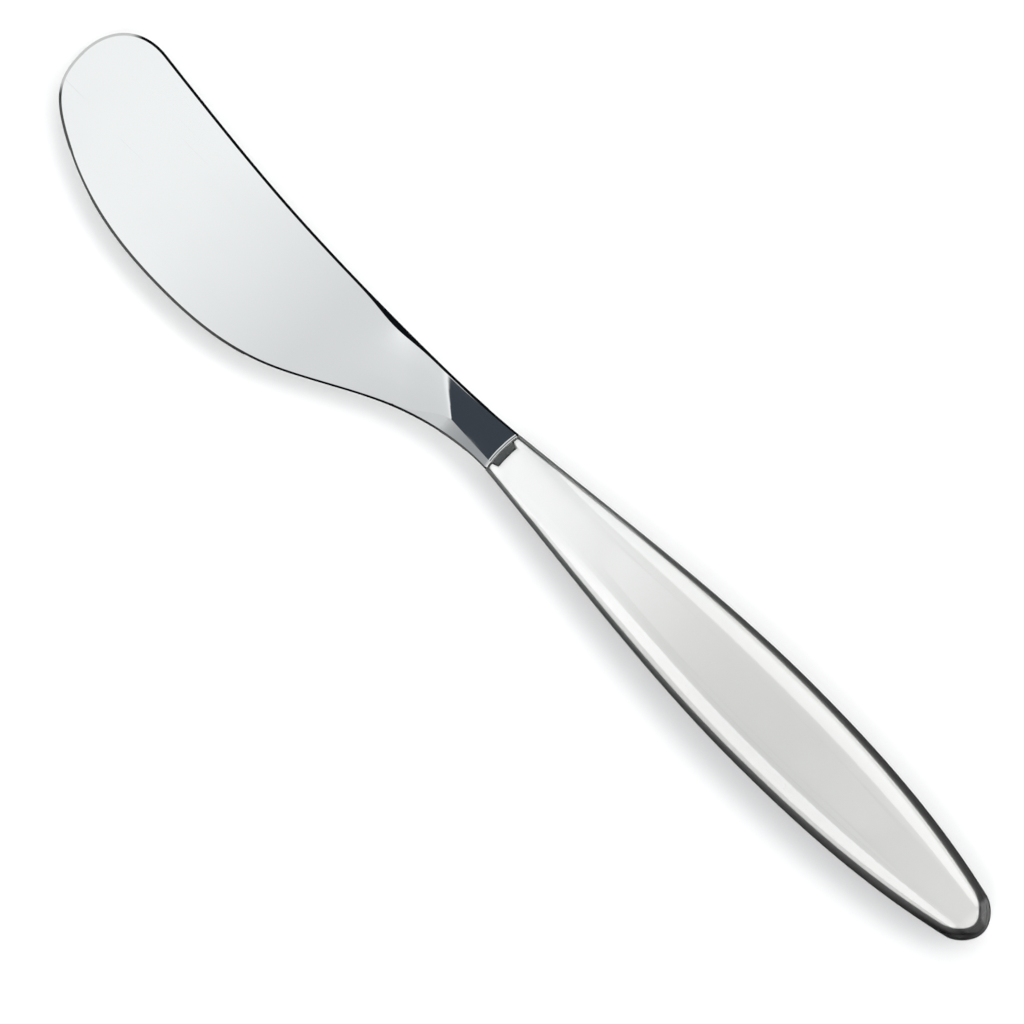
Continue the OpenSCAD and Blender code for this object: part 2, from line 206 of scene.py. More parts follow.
@dataclass(frozen=True)
class HalfSection:
    """One side of a section: an edge point in the plan, the way in from it, and the form of its edge."""

    point: Vector
    inward: Vector
    edge: Edge
    edge_steps: int = 14
    crown_steps: int = 10

    @property
    def inner(self) -> Vector:
        """Plan point where the edge's rounding ends."""
        return self.point + self.inward * self.edge.width

    def points(self, middle: Vector, crown: float, shoulder: float) -> Ring:
        """Points of this side, from the underside's middle round the edge to the top's middle.

        Args:
            middle: Plan point halfway across the section.
            crown: Half thickness in the middle.
            shoulder: Half thickness where the edge's rounding ends.

        Returns:
            The points, mirrored about the plan.
        """
        reach = (self.inner - middle).length
        slope = 2 * (crown - shoulder) / reach / (1 - FLAT_SHARE) if reach else 0.0
        upper = []
        for t in spread(0, 1, self.edge_steps):
            inset, drop = self.edge.at(t, slope)
            upper.append((*(self.point + self.inward * inset), shoulder - drop))
        for share in spread(1, FLAT_SHARE, self.crown_steps - 1)[1:]:
            height = mix(crown, shoulder, fall(share))
            upper.append((*middle.lerp(self.inner, share), height))
        return [(x, y, -z) for x, y, z in reversed(upper)] + upper

    @classmethod
    def creases(cls) -> set[int]:
        """Finds what stays crisp in a section.

        Returns:
            Places, in a whole section's points, of the knees and the shoulders of its edges.
        """
        half = cls.edge_steps + cls.crown_steps
        places = {half + step for step in (cls.edge_steps // 2, cls.edge_steps)}
        places |= {2 * half - 1 - place for place in places}
        return places | {4 * half - 1 - place for place in places}


def section(spine: HalfSection, belly: HalfSection, crown: float, shoulder: float) -> Ring:
    """Closed ring of a section.

    Args:
        spine: Its side towards the spine.
        belly: Its other side.
        crown: Half thickness in the middle.
        shoulder: Half thickness at the two shoulders.

    Returns:
        Points up one side and down the other.
    """
    middle = (spine.inner + belly.inner) / 2
    return spine.points(middle, crown, shoulder) + belly.points(middle, crown, shoulder)[::-1]


def even_section(point: Vector, inward: Vector, crown: float, shoulder: float,
                 edge: Edge, belly_edge: Edge | None = None) -> Ring:
    """Section whose two sides are mirrored about the handle's axis, but for the form of their edges."""
    belly = HalfSection(point * MIRROR, inward * MIRROR, belly_edge or edge)
    return section(HalfSection(point, inward, edge), belly, crown, shoulder)


def spread(start: float, end: float, count: int) -> list[float]:
    """Evenly spaced places from start to end, both kept."""
    return [mix(start, end, i / count) for i in range(count + 1)]


def stations(ends: Sequence[float], steps: Sequence[int]) -> list[float]:
    """Places from the first of a row of ends to the last, with so many even steps between each two."""
    return [ends[0]] + [x for a, b, n in zip(ends, ends[1:], steps) for x in spread(a, b, n)[1:]]


@dataclass(frozen=True)
class Outline:
    """Half of the plan of the handle or its core, along the axis, with a rounded end."""

    half_w: Callable[[float], float]
    round_x: float
    end: float

    def point(self, t: float) -> Vector:
        """Finds a point of the outline.

        Args:
            t: Below 0 so many millimetres before the rounded end, and from 0 to 1 along it.

        Returns:
            The point.
        """
        angle = math.pi / 2 * max(t, 0)
        x = mix(self.round_x, self.end, math.sin(angle)) + min(t, 0)
        return Vector((x, self.half_w(x) * math.cos(angle)))

    def inward(self, t: float) -> Vector:
        """Unit vector square to the outline at t, into the plan."""
        way = (self.point(t + TURN_STEP) - self.point(t - TURN_STEP)).normalized()
        return Vector((way.y, -way.x))


def skin(name: str, rings: Sequence[Ring], shift: Vector,
         sharp: Callable[[int, int], bool] = lambda row, column: False) -> bpy.types.Object:
    """Closed smooth skin over a row of rings, with a strip of faces across the first and the last.

    Args:
        name: Name of the new piece.
        rings: Rings of equally many points.
        shift: Where the drawing's origin lies in the frame, in metres.
        sharp: Says whether the edge from a row to the next, along a column, is a sharp one.

    Returns:
        The new object.
    """
    n = len(rings[0])
    mesh = bmesh.new()
    rows = [[mesh.verts.new(Vector(p) * MM + shift) for p in ring] for ring in rings]
    for i, (a, b) in enumerate(zip(rows, rows[1:])):
        for j in range(n):
            mesh.faces.new((a[j], a[(j + 1) % n], b[(j + 1) % n], b[j])).smooth = True
            mesh.edges.get((a[j], b[j])).smooth = not sharp(i, j)
    for row in (rows[0], rows[-1]):
        for j in range(n // 2 - 1):
            mesh.faces.new((row[j], row[j + 1], row[n - 2 - j], row[n - 1 - j])).smooth = True
    bmesh.ops.recalc_face_normals(mesh, faces=mesh.faces)
    for edge in mesh.edges:
        if len(edge.link_faces) == 2 and edge.calc_face_angle() > CREASE:
            edge.smooth = False
    data = bpy.data.meshes.new(name)
    mesh.to_mesh(data)
    mesh.free()
    piece = bpy.data.objects.new(name, data)
    bpy.context.scene.collection.objects.link(piece)
    return piece


class Wire:
    """One output socket of a shader tree, on which Python's operators add nodes."""

    def __init__(self, tree: "ShaderTree", socket: bpy.types.NodeSocket) -> None:
        """Wraps a socket of a tree."""
        self.tree = tree
        self.socket = socket

    def _joined(self, operation: str, a: Value, b: Value) -> "Wire":
        """Adds the node that joins two values, by the kind of the wires among them.

        Args:
            operation: Name that Math, Vector Math and Mix all have for it.
            a: First value.
            b: Second value.

        Returns:
            The result.
        """
        kinds = {v.socket.type for v in (a, b) if isinstance(v, Wire)}
        if "RGBA" in kinds:
            return self._mixed(operation, 1.0, a, b)
        kind = "ShaderNodeVectorMath" if "VECTOR" in kinds else "ShaderNodeMath"
        return self.tree.node(kind, {"operation": operation}, {0: a, 1: b})

    def _mixed(self, blend: str, factor: Value, a: Value, b: Value) -> "Wire":
        """Colour that a Mix node makes of two others."""
        values = {"Factor_Float": factor, "A_Color": a, "B_Color": b}
        return self.tree.node("ShaderNodeMix", {"data_type": "RGBA", "blend_type": blend}, values,
                              "Result_Color")

    def __add__(self, other: Value) -> "Wire":
        """Sum."""
        return self._joined("ADD", self, other)

    __radd__ = __add__

    def __sub__(self, other: Value) -> "Wire":
        """Difference."""
        return self._joined("SUBTRACT", self, other)

    def __rsub__(self, other: Value) -> "Wire":
        """Difference of a plain value and this one."""
        return self._joined("SUBTRACT", other, self)

    def __mul__(self, other: Value) -> "Wire":
        """Product."""
        return self._joined("MULTIPLY", self, other)

    __rmul__ = __mul__

    def __truediv__(self, other: Value) -> "Wire":
        """Quotient."""
        return self._joined("DIVIDE", self, other)

    def __rtruediv__(self, other: Value) -> "Wire":
        """Quotient of a plain value and this one."""
        return self._joined("DIVIDE", other, self)

    def maths(self, operation: str, *others: Value) -> "Wire":
        """Any other Math node on this value and others."""
        values = {i: v for i, v in enumerate((self, *others))}
        return self.tree.node("ShaderNodeMath", {"operation": operation}, values)

    def dot(self, other: Value) -> "Wire":
        """Dot product of two vectors."""
        values = {0: self, 1: other}
        return self.tree.node("ShaderNodeVectorMath", {"operation": "DOT_PRODUCT"}, values, "Value")

    def ramped(self, low: float, high: float) -> "Wire":
        """Soft step from 0 at low to 1 at high."""
        settings = {"interpolation_type": "SMOOTHSTEP"}
        return self.tree.node("ShaderNodeMapRange", settings,
                              {"Value": self, "From Min": low, "From Max": high}, "Result")

    def tinted(self, dark: Colour, light: Colour) -> "Wire":
        """Colour between two others, by this value from 0 to 1."""
        return self._mixed("MIX", self, (*dark, 1), (*light, 1))


@dataclass
class ShaderTree:
    """Node tree of a material or the world, emptied and ready for new nodes."""

    owner: Union[bpy.types.Material, bpy.types.World]
    nodes: bpy.types.Nodes = field(init=False)

    def __post_init__(self) -> None:
        """Empties the owner's tree."""
        self.owner.use_nodes = True
        self.nodes = self.owner.node_tree.nodes
        self.nodes.clear()

    def node(self, kind: str, settings: dict | None = None, values: dict | None = None,
             output: Union[int, str] = 0) -> Wire | None:
        """Adds any node.

        Args:
            kind: Blender's name of the node's type.
            settings: Properties of the node, set first.
            values: Numbers, colours or wires for its input sockets, by index, identifier or name.
            output: Output socket to wrap, by index, identifier or name.

        Returns:
            The wrapped output, or None for a node without one.
        """
        made = self.nodes.new(kind)
        for name, setting in (settings or {}).items():
            setattr(made, name, setting)
        for key, value in (values or {}).items():
            socket = self._pick(made.inputs, key)
            if isinstance(value, Wire):
                self.owner.node_tree.links.new(value.socket, socket)
            else:
                socket.default_value = value
        return Wire(self, self._pick(made.outputs, output)) if made.outputs else None

    @staticmethod
    def _pick(sockets: bpy.types.bpy_prop_collection, key: Union[int, str]) -> bpy.types.NodeSocket:
        """Socket with that index, identifier or name."""
        named = (s for s in sockets if key in (s.identifier, s.name))
        return sockets[key] if isinstance(key, int) else next(named)

    def where(self) -> Wire:
        """Place on the object, in metres."""
        return self.node("ShaderNodeTexCoord", output="Object")

    def relief(self, height: Wire, strength: float, depth: float) -> Wire:
        """Bumped normal of a surface with a height from 0 to 1, whose depth is in metres."""
        return self.node("ShaderNodeBump", {}, {"Strength": strength, "Distance": depth, "Height": height})

    def light_path(self, name: str) -> Wire:
        """1 for the named kind of ray, and else 0."""
        return self.node("ShaderNodeLightPath", output=name)


@dataclass(frozen=True)
class Pattern:
    """Noise over a piece, which a soft step may sharpen.

    Its pace is in features to a metre along X, Y and Z. A turn of the noise, in degrees, tells two patterns of
    one pace apart.
    """

    pace: Point
    detail: float = 2.0
    step: Span | None = None
    turn_deg: float = 0.0

    def on(self, tree: ShaderTree) -> Wire:
        """Lays the pattern on a material.

        Args:
            tree: The material's tree.

        Returns:
            Its value, from 0 to 1.
        """
        where = tree.node("ShaderNodeMapping", {}, {
            "Vector": tree.where(), "Scale": self.pace, "Rotation": (0, 0, math.radians(self.turn_deg))})
        noise = tree.node("ShaderNodeTexNoise", {}, {"Vector": where, "Scale": 1.0, "Detail": self.detail})
        return noise.ramped(*self.step) if self.step else noise


def material(name: str, shade: Callable[[ShaderTree], dict[str, Wire]]) -> bpy.types.Material:
    """Makes a material.

    Args:
        name: Its name.
        shade: Adds its nodes to a tree and gives the wires for its output.

    Returns:
        The new material.
    """
    made = bpy.data.materials.new(name)
    tree = ShaderTree(made)
    tree.node("ShaderNodeOutputMaterial", {}, shade(tree))
    return made


@dataclass(frozen=True)
class PolishedSteel:
    """Mirror-polished stainless steel with faint polishing lines, smudges and hairline scratches.

    The tang, which starts at a place along X and lies within its half thickness of a middle height, keeps the
    rough skin that the blade is ground free of, and its colour is darkened there as a painted dark reflection.
    Its sizes are in metres, in the frame.
    """

    tang_x: float
    middle_z: float
    tang_half_t: float
    tang_fade: float = 2e-5
    tang_roughness: float = 0.1
    tang_line_roughness: float = 0.2
    # Share of the colour taken off the tang: a painted dark reflection
    tang_painted_dark: float = 0.5
    colour: Colour = (0.80, 0.81, 0.80)
    warm: Colour = (0.78, 0.79, 0.78)
    roughness: float = 0.03
    smudge_roughness: float = 0.025
    line_roughness: float = 0.015
    scratch_roughness: float = 0.03
    lines: Pattern = Pattern((40, 2600, 400), 3)
    smudges: Pattern = Pattern((45, 45, 45), 3, (0.45, 0.75))
    patches: Pattern = Pattern((30, 48, 30))
    scratches: tuple[Pattern, ...] = tuple(
        Pattern((60, 5200, 60), 1, (0.74, 0.8), turn) for turn in (12, -31))
    relief: Span = (0.02, 2e-5)

    def shade(self, tree: ShaderTree) -> dict[str, Wire]:
        """Adds the nodes of the steel.

        Args:
            tree: The material's tree.

        Returns:
            Wires for its output, by socket.
        """
        lines, smudges = self.lines.on(tree), self.smudges.on(tree)
        scratches = sum(pattern.on(tree) for pattern in self.scratches)
        tang = self.tang(tree.where())
        roughness = (self.roughness + lines * self.line_roughness + smudges * self.smudge_roughness
                     + scratches * self.scratch_roughness
                     + tang * (self.tang_roughness + lines * self.tang_line_roughness))
        # Painted dark reflection: the steel's colour is darkened on the tang
        colour = self.patches.on(tree).tinted(self.warm, self.colour) * (1 - tang * self.tang_painted_dark)
        shader = tree.node("ShaderNodeBsdfPrincipled", {}, {
            "Base Color": colour, "Metallic": 1.0, "Roughness": roughness,
            "Normal": tree.relief(lines - scratches, *self.relief)})
        return {"Surface": shader}

    def tang(self, where: Wire) -> Wire:
        """1 on the tang and 0 on the blade, at a place."""
        height = (where.dot((0, 0, 1)) - self.middle_z).maths("ABSOLUTE")
        return (where.dot((1, 0, 0)).ramped(self.tang_x, self.tang_x + self.tang_fade)
                * (1 - height.ramped(self.tang_half_t, self.tang_half_t + self.tang_fade)))


@dataclass(frozen=True)
class WhiteMoulding:
    """Opaque white plastic with faint flow marks, lighter at its nose as a painted highlight."""

    colour: Colour = (0.78, 0.775, 0.76)
    nose: Colour = (0.825, 0.825, 0.82)
    painted_highlight_fade: Span = (0.005, 0.035)
    roughness: float = 0.4
    grain_roughness: float = 0.1
    flow_reach: float = 0.01
    flow: Pattern = Pattern((14, 60, 60), 3)
    grain: Pattern = Pattern((900, 900, 900))
    relief: Span = (0.006, 5e-5)

    def shade(self, tree: ShaderTree) -> dict[str, Wire]:
        """Adds the nodes of the white plastic.

        Args:
            tree: The material's tree.

        Returns:
            Wires for its output, by socket.
        """
        # Flow marks make the edge of the painted highlight at the nose uneven
        along = tree.where().dot((1, 0, 0)) + (self.flow.on(tree) - 0.5) * self.flow_reach
        grain = self.grain.on(tree)
        shader = tree.node("ShaderNodeBsdfPrincipled", {}, {
            # Painted highlight: the colour is lighter at the nose and fades to the core's own colour further
            # back
            "Base Color": along.ramped(*self.painted_highlight_fade).tinted(self.nose, self.colour),
            "Roughness": self.roughness + grain * self.grain_roughness,
            "Normal": tree.relief(grain, *self.relief)})
        return {"Surface": shader}


@dataclass(frozen=True)
class ClearMoulding:
    """Clear glossy plastic with a smoke tint in its depth, finger smudges and fine handling scratches.

    It lets shadow rays through, so that the core inside is lit without noise.
    """

    colour: Colour = (0.985, 0.985, 0.985)
    tint: Colour = (0.25, 0.265, 0.255)
    tint_density: float = 850.0
    ior: float = 1.57
    roughness: float = 0.02
    smudge_roughness: float = 0.03
    scratch_roughness: float = 0.004
    smudges: Pattern = Pattern((60, 60, 60), 3, (0.5, 0.8))
    scratches: Pattern = Pattern((70, 4200, 300), 1, (0.75, 0.81), 20)
    ripple: Pattern = Pattern((60, 160, 160), 1)
    relief: Span = (0.05, 5e-5)

    def shade(self, tree: ShaderTree) -> dict[str, Wire]:
        """Adds the nodes of the clear plastic.

        Args:
            tree: The material's tree.

        Returns:
            Wires for its output, by socket.
        """
        roughness = (self.roughness + self.smudges.on(tree) * self.smudge_roughness
                     + self.scratches.on(tree) * self.scratch_roughness)
        shader = tree.node("ShaderNodeBsdfPrincipled", {}, {
            "Base Color": (*self.colour, 1), "Transmission Weight": 1.0, "IOR": self.ior,
            "Roughness": roughness, "Normal": tree.relief(self.ripple.on(tree), *self.relief)})
        surface = tree.node("ShaderNodeMixShader", {}, {
            "Fac": tree.light_path("Is Shadow Ray"), 1: shader, 2: tree.node("ShaderNodeBsdfTransparent")})
        depth = tree.node("ShaderNodeVolumeAbsorption", {}, {
            "Color": (*self.tint, 1), "Density": self.tint_density})
        return {"Surface": surface, "Volume": depth}


@dataclass(frozen=True)
class WhiteTable:
    """Pale matt table top that renders white where it is fully lit, and keeps the shadow.

    A share of it is clear to the camera, which sees the white backdrop through it.
    """

    colour: Colour = (0.86, 0.86, 0.86)
    seen_colour: Colour = (0.98, 0.98, 0.98)
    clear_share: float = 0.18
    grain_dark: float = 0.01
    grain: Pattern = Pattern((400, 400, 400))

    def shade(self, tree: ShaderTree) -> dict[str, Wire]:
        """Adds the nodes of the table.

        Args:
            tree: The material's tree.

        Returns:
            Wires for its output, by socket.
        """
        camera = tree.light_path("Is Camera Ray")
        seen = camera.maths("MAXIMUM", tree.light_path("Is Glossy Ray"))
        seen = seen.maths("MAXIMUM", tree.light_path("Is Transmission Ray"))
        colour = seen.tinted(self.colour, self.seen_colour) * (1 - self.grain.on(tree) * self.grain_dark)
        matt = tree.node("ShaderNodeBsdfPrincipled", {}, {
            "Base Color": colour, "Roughness": 1.0, "Specular IOR Level": 0.0})
        surface = tree.node("ShaderNodeMixShader", {}, {
            "Fac": camera * self.clear_share, 1: matt, 2: tree.node("ShaderNodeBsdfTransparent")})
        return {"Surface": surface}


@dataclass
class KnifePlan:
    """Sizes that the steel and the handle share, and the handle's own outline."""

    blade_l: float = 80.7
    neck_w: float = 6.8
    neck_t: float = 3.2
    neck_spine_edge: Edge = Edge(0.35, 0.3, 0.06)
    neck_belly_edge: Edge = Edge(0.3, 0.26, 0.95, 0.135)
    handle_edge: Edge = Edge.rounded(0.42)
    mouth_bow: float = 0.35
    bow_l: float = 8.0
    handle_l: float = 94.3
    handle_w: float = 15.5
    handle_t: float = 8.6
    shoulder_t: float = 6.4
    swell_at: float = 53.0
    butt_w: float = 6.4
    butt_t: float = 6.6
    butt_shoulder_t: float = 5.4
    butt_round: float = 3.4
    spine_flare: float = 0.1
    belly_flare: float = 0.04
    swell_slope: float = 0.11
    shoulder_slope: float = 0.08
    butt_taper: float = 0.27
    butt_fall: float = 0.07
    flank: Curve = field(init=False)
    crown: Curve = field(init=False)
    shoulder: Curve = field(init=False)

    def __post_init__(self) -> None:
        """Works out the handle's half width and half thicknesses along its axis."""
        self.flank = self._along(self.neck_w, self.spine_flare, self.handle_w, self.butt_w, -self.butt_taper)
        self.crown = self._along(self.neck_t, self.swell_slope, self.handle_t, self.butt_t, -self.butt_fall)
        self.shoulder = self._along(self.neck_t, self.shoulder_slope, self.shoulder_t,
                                    self.butt_shoulder_t, -self.butt_fall / 2)

    def _along(self, front: float, slope: float, swell: float, butt: float, butt_slope: float) -> Curve:
        """Half of a size along the handle, from its front over its swell to the butt."""
        return Curve((Knot(0, front / 2, slope), Knot(self.swell_at, swell / 2),
                      Knot(self.handle_l, butt / 2, butt_slope)))

    @property
    def shift(self) -> Vector:
        """Where the drawing's origin lies in the frame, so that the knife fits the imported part's box."""
        low, high = CAD_BOX
        return Vector((low.x + self.blade_l * MM, high.y - self.handle_w / 2 * MM, (low.z + high.z) / 2))

    @property
    def round_x(self) -> float:
        """Where the butt starts to round."""
        return self.handle_l - self.butt_round

    @property
    def outline(self) -> Outline:
        """Outline of the handle in the plan."""
        return Outline(self.flank, self.round_x, self.handle_l)

    def end_level(self, x: float) -> float:
        """How much of the faces' rise from the shoulders is left at x, round the butt."""
        return 1 - max(0.0, (x - self.round_x) / self.butt_round) ** 2

    def top(self, x: float) -> float:
        """Half thickness of the handle's middle at x."""
        return mix(self.shoulder(x), self.crown(x), self.end_level(x))

    def half_t(self, point: Vector) -> float:
        """Half thickness of the handle at a place in its plan."""
        reach = self.flank(point.x) * math.sqrt(self.end_level(point.x)) - self.edges(point.x)[1].width
        return mix(self.top(point.x), self.shoulder(point.x), fall(abs(point.y) / reach))

    def edges(self, x: float) -> tuple[Edge, Edge]:
        """Forms of the handle's two edges at x, the one to the spine first."""
        share = ease(x / self.swell_at)
        return (self.neck_spine_edge.toward(self.handle_edge, share),
                self.neck_belly_edge.toward(self.handle_edge, share))

    def mouth_ring(self, x: float, inset: float = 0.0) -> Ring:
        """Section of the neck's end or the handle's front at x, smaller all round by an inset."""
        half_t = self.crown(x) - inset
        return even_section(Vector((x, self.flank(x) - inset)), Vector((0, -1)), half_t, half_t,
                            self.neck_spine_edge, self.neck_belly_edge)

    def bowed(self, ring: Ring, share: float = 1.0) -> Ring:
        """Ring bowed towards the tip, most in its middle and not at all at the neck's edges."""
        bow = self.mouth_bow * share
        return [(x - bow * max(0.0, 1 - (2 * y / self.neck_w) ** 2), y, z) for x, y, z in ring]


@dataclass
class SteelBlade:
    """Blade, neck and notched tang in one piece of steel."""

    plan: KnifePlan
    blade_t: float = 1.4
    edge: Edge = Edge(0.4, 0.32, 0.06)
    wedge_w: float = 0.45
    wedge_h: float = 0.32
    wedge_start: float = 33.0
    wedge_end: float = 13.0
    tip_l: float = 8.7
    tip_drop: float = 2.0
    spine_rise: float = 6.0
    belly_drop: float = 17.6
    neck_l: float = 26.0
    spine_lean: float = 4.7
    belly_lean: float = 1.75
    round_l: float = 11.0
    strip_start: float = 15.0
    strip_turn_l: float = 3.0
    strip_at: float = 8.3
    strip_w: float = 2.05
    ramp_l: float = 30.0
    swell_l: float = 10.2
    swell_rise: float = 0.11
    swell_slope: float = 0.012
    facet_l: float = 8.8
    facet_rise: float = 0.15
    facet_slope: float = 0.05
    mouth_bevel: float = 0.22
    mouth_drop: float = 0.08
    tang_l: float = 40.0
    tang_w: float = 4.3
    tang_t: float = 1.2
    root_t: float = 1.6
    root_l: float = 3.0
    tang_end_w: float = 3.0
    tang_round: float = 0.3
    notch_d: float = 0.8
    notch_l: float = 6.0
    notch_at: float = 14.0
    notch_step: float = 14.0
    spine_shares: tuple[Knot, ...] = (Knot(0.62, 0.608, 1.14), Knot(0.335, 0.443, 0.13))
    belly_shares: tuple[Knot, ...] = (Knot(0.607, 1), Knot(0.372, 0.787, 2.2), Knot(0.173, 0.332, 1.65))
    spine_tip_slope_share: float = 1.61
    belly_tip_slope_share: float = 2.3
    toe_share: float = 0.736
    tip_up_share: float = 0.55
    spine_pull_share: float = 0.63
    tip_down_share: float = 0.61
    belly_pull_share: float = 0.8
    tip_start_share: float = 0.004
    tip_rings: int = 70
    blade_rings: int = 60
    neck_rings: int = 90
    tang_rings: int = 60
    spine: Curve = field(init=False)
    belly: Curve = field(init=False)
    half_t: Curve = field(init=False)
    tip_to_spine: Bend = field(init=False)
    tip_to_belly: Bend = field(init=False)

    def __post_init__(self) -> None:
        """Works out the outlines from the sizes."""
        plan, length, tip_x = self.plan, self.plan.blade_l, self.tip_x
        spine_slope = -self.spine_tip_slope_share * self.spine_rise / length
        belly_slope = -self.belly_tip_slope_share * self.belly_drop / length
        self.spine = Curve((
            Knot(tip_x, self.spine_rise, spine_slope),
            *(Knot(-knot.x * length, knot.y * self.spine_rise, -knot.slope * self.spine_rise / length)
              for knot in self.spine_shares),
            Knot(0, plan.neck_w / 2, plan.spine_flare)))
        self.belly = Curve((
            Knot(tip_x, -self.toe_share * self.belly_drop, belly_slope),
            *(Knot(-knot.x * length, -knot.y * self.belly_drop, knot.slope * self.belly_drop / length)
              for knot in self.belly_shares),
            Knot(0, -plan.neck_w / 2, -plan.belly_flare)))
        self.half_t = Curve((
            Knot(-length, self.blade_t / 2),
            Knot(-self.ramp_l, self.blade_t / 2),
            Knot(-self.swell_l, self.blade_t / 2 + self.swell_rise, self.swell_slope),
            Knot(-self.facet_l, self.blade_t / 2 + self.facet_rise, self.facet_slope),
            Knot(0, plan.neck_t / 2, plan.swell_slope)))
        tip = Vector((-length, -self.tip_drop))
        spine_corner = Vector((tip_x, self.spine_rise))
        belly_corner = Vector((tip_x, -self.toe_share * self.belly_drop))
        self.tip_to_spine = Bend(
            tip, tip + Vector((0, self.tip_up_share * self.tip_l)),
            spine_corner - self.spine_pull_share * self.tip_l * Vector((1, spine_slope)), spine_corner)
        self.tip_to_belly = Bend(
            tip, tip - Vector((0, self.tip_down_share * self.tip_l)),
            belly_corner - self.belly_pull_share * self.tip_l * Vector((1, belly_slope)), belly_corner)

    @property
    def tip_x(self) -> float:
        """Where the rounded tip ends and the two edges start."""
        return self.tip_l - self.plan.blade_l

    def tip_ring(self, t: float) -> Ring:
        """Ring of the rounded tip, whose edge is worked square to the plan's own curve."""
        sides = (HalfSection(bend.at(t), bend.inward(t, side), self.edge)
                 for bend, side in ((self.tip_to_spine, 1), (self.tip_to_belly, -1)))
        return section(*sides, self.blade_t / 2, self.blade_t / 2)

    def blade_ring(self, x: float) -> Ring:
        """Ring of the blade or the neck, whose edges turn into the handle's.

        Args:
            x: Place along the knife.

        Returns:
            The ring, whose two sides lean apart along the neck.
        """
        lean = math.sin(math.pi * min(max(1 + x / self.neck_l, 0), 1)) ** 2
        spine_x, belly_x = x - self.spine_lean * lean, x + self.belly_lean * lean
        spine = HalfSection(Vector((spine_x, self.spine(spine_x))), Vector((0, -1)), self.spine_edge(spine_x))
        belly = HalfSection(Vector((belly_x, self.belly(belly_x))), Vector((0, 1)), self.belly_edge(belly_x))
        ring = section(spine, belly, self.half_t(x), self.half_t(x))
        return self.plan.bowed(ring, ease(1 + x / self.plan.bow_l))

    def spine_edge(self, x: float) -> Edge:
        """Form of the spine's edge, whose chamfer swells before the neck.

        Args:
            x: Place along the knife.

        Returns:
            The edge there.
        """
        part = ease((x + self.wedge_start) / (self.wedge_start - self.wedge_end))
        swell = math.sin(math.pi * part) ** 2
        wedge = Edge(self.edge.chamfer_w + self.wedge_w * swell, self.edge.chamfer_h + self.wedge_h * swell,
                     self.edge.strip_w)
        return wedge.toward(self.plan.neck_spine_edge, ease(1 + x / self.round_l))

    def belly_edge(self, x: float) -> Edge:
        """Form of the belly's edge, with a strip that falls off and widens along the neck.

        Args:
            x: Place along the knife.

        Returns:
            The edge there.
        """
        end = self.plan.neck_belly_edge
        slope = end.strip_slope * ease((x + self.strip_start + self.strip_turn_l) / self.strip_turn_l)
        if x < -self.strip_at:
            share = ease((x + self.strip_start) / (self.strip_start - self.strip_at))
            width = mix(self.edge.strip_w, self.strip_w, share)
        else:
            width = mix(end.strip_w, self.strip_w, (x / self.strip_at) ** 2)
        along = ease(1 + x / self.strip_start)
        return Edge(mix(self.edge.chamfer_w, end.chamfer_w, along),
                    mix(self.edge.chamfer_h, end.chamfer_h, along), width, slope)

    def notch(self, x: float, at: float) -> float:
        """Depth of the round notch with its middle at a place."""
        turn = min(abs(x - at) / self.notch_l, 0.5)
        return self.notch_d / 2 * (1 + math.cos(2 * math.pi * turn))

    def tang_ring(self, x: float, gap: float = 0.0) -> Ring:
        """Ring of the tang, or of the slot round it.

        Args:
            x: Place along the tang.
            gap: How much wider the slot is.

        Returns:
            The ring.
        """
        taper = mix(self.tang_w, self.tang_end_w, x / self.tang_l) / 2
        half_w = taper - self.notch(x, self.notch_at) - self.notch(x, self.notch_at + self.notch_step)
        half_t = mix(self.root_t, self.tang_t, min(x / self.root_l, 1)) / 2 + gap
        return even_section(Vector((x, half_w + gap)), Vector((0, -1)), half_t, half_t,
                            Edge.rounded(self.tang_round))

    def tang_end(self, gap: float = 0.0) -> Ring:
        """Last ring of the tang, or of the slot round it, a gap wider."""
        half_w, half_t = (size / 2 - self.tang_round + gap for size in (self.tang_end_w, self.tang_t))
        return even_section(Vector((self.tang_l + gap, half_w)), Vector((0, -1)), half_t, half_t,
                            Edge(self.tang_round, half_t / 2, round_share=1.0))

    def tang_places(self, front: float) -> list[float]:
        """Places of the tang's rings behind the core's front."""
        return spread(front, self.tang_l - self.tang_round, self.tang_rings)

    def build(self, core_front: float) -> bpy.types.Object:
        """Makes the steel's mesh.

        Args:
            core_front: Front of the core, where the tang's rings start.

        Returns:
            The steel piece.
        """
        plan = self.plan
        tip = [self.tip_ring(t) for t in spread(self.tip_start_share, 1, self.tip_rings)]
        ends = (self.tip_x, -self.neck_l, -self.mouth_bevel)
        flat = [self.blade_ring(x) for x in stations(ends, (self.blade_rings, self.neck_rings))[1:]]
        shoulder = [plan.bowed(plan.mouth_ring(0, self.mouth_drop)), plan.bowed(self.tang_ring(0))]
        tang = [self.tang_ring(x) for x in self.tang_places(core_front)] + [self.tang_end()]
        crisp_rows, crisp = len(tip) + len(flat), HalfSection.creases()
        return skin("steel_blade", tip + flat + shoulder + tang, plan.shift,
                    lambda row, column: row < crisp_rows and column in crisp)

    def dress(self, piece: bpy.types.Object) -> None:
        """Gives the steel its finish and its place in the part.

        Args:
            piece: The steel.
        """
        front = self.plan.shift
        finish = PolishedSteel(front.x - self.plan.mouth_bow * MM, front.z, self.root_t / 2 * MM)
        piece.data.materials.append(material(Slot.STEEL.value, finish.shade))
        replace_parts(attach(piece, BODY), "blade")


